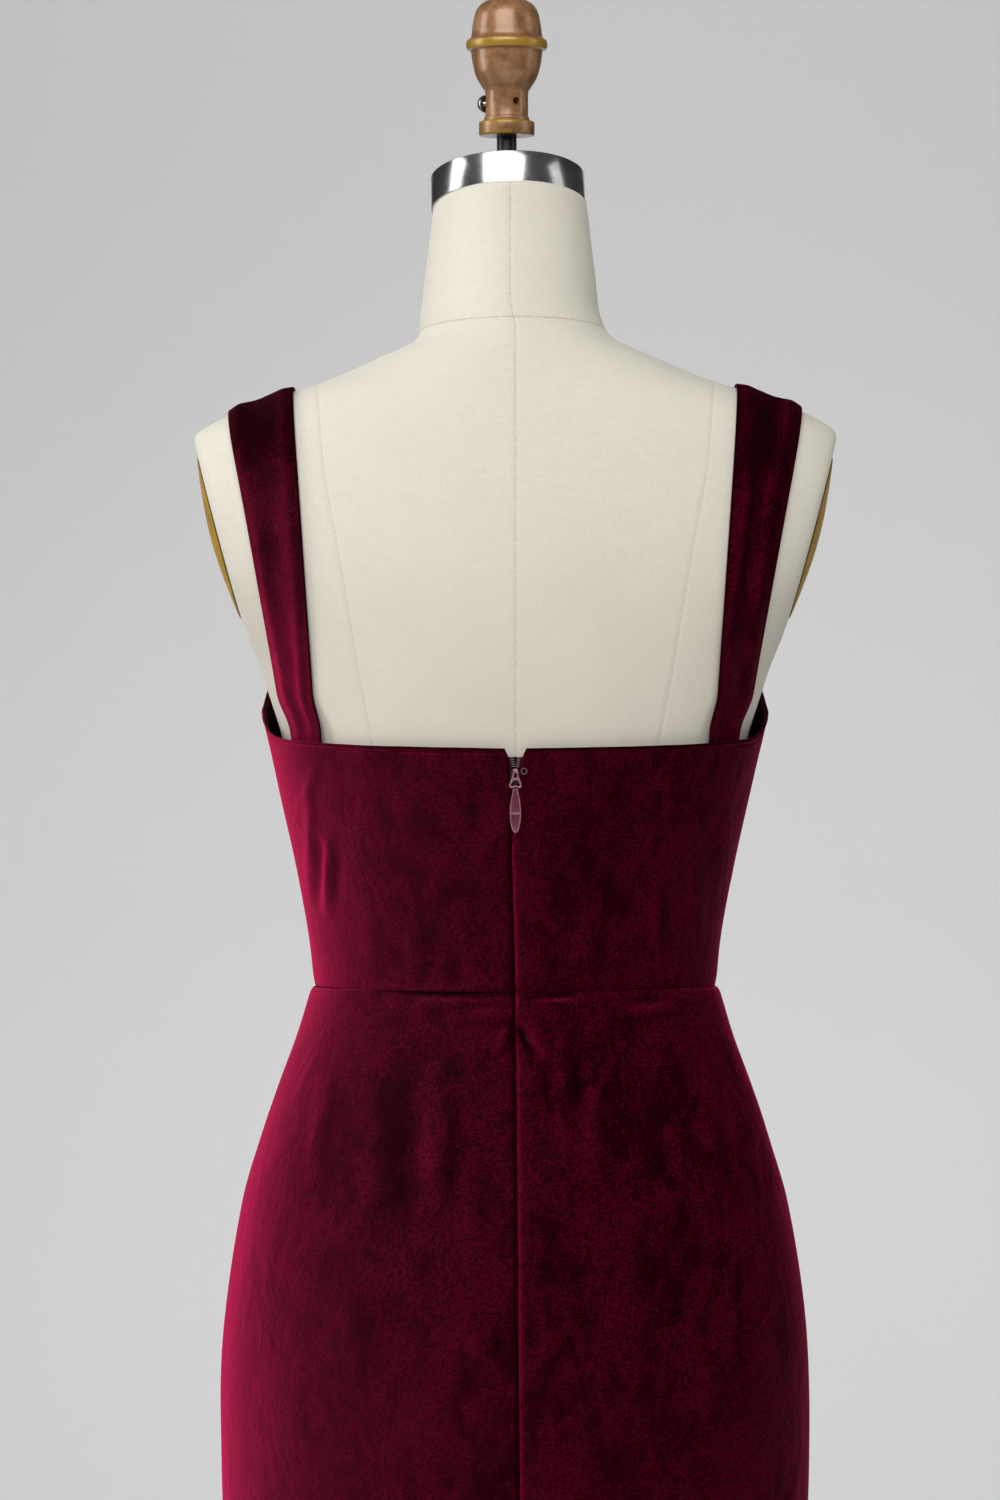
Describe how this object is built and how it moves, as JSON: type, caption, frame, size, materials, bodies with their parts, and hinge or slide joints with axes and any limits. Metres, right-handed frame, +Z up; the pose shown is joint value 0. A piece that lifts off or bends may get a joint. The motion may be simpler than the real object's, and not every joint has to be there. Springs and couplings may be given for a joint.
{
  "type": "mermaid dress on a limbless dress form with its stand",
  "caption": "Floor-length velvet mermaid dress with a square back, wide straps and a back zip, worn by a dress form on a round foot.",
  "frame": {"origin": "centre of the underside of the stand's foot, on the floor", "axes": "+Z up, the dress's front faces -Y, +X is the wearer's left"},
  "size_m": [0.8458, 0.7644, 1.6903],
  "materials": {
    "velvet": "burgundy velvet, dark face on and brighter at a glancing angle",
    "zip_tape": "woven zip tape",
    "zip_metal": "burgundy enamel over metal",
    "form_linen": "cream linen over a moulded shell",
    "steel": "brushed",
    "black_metal": "black semi-gloss paint",
    "copper_paint": "copper-bronze paint, worn to ochre at the edges",
    "ochre_paint": "glossy ochre paint",
    "black_iron": "black painted casting"
  },
  "bodies": {
    "root": {"bodice_back_left": "velvet", "bodice_back_right": "velvet", "bodice_front": "velvet", "skirt_back_left": "velvet", "skirt_back_right": "velvet", "skirt_front": "velvet", "strap_left": "velvet", "strap_right": "velvet", "zip_tape": "zip_tape", "zip_slider": "zip_metal", "form_torso": "form_linen", "form_neck_cap": "steel", "form_rod": "black_metal", "form_finial": "copper_paint", "form_set_screw": "steel", "form_arm_plate_left": "ochre_paint", "form_arm_plate_right": "ochre_paint", "stand_foot": "black_iron", "stand_pole": "black_metal"},
    "pull_tab": {"zip_pull": "zip_metal"}
  },
  "joints": [
    {"name": "pull_hinge", "type": "hinge", "parent": "root", "child": "pull_tab", "pos_m": [0, 0.10761, 1.2112], "axis": [1, 0, 0], "range_deg": [-5, 150]}
  ]
}
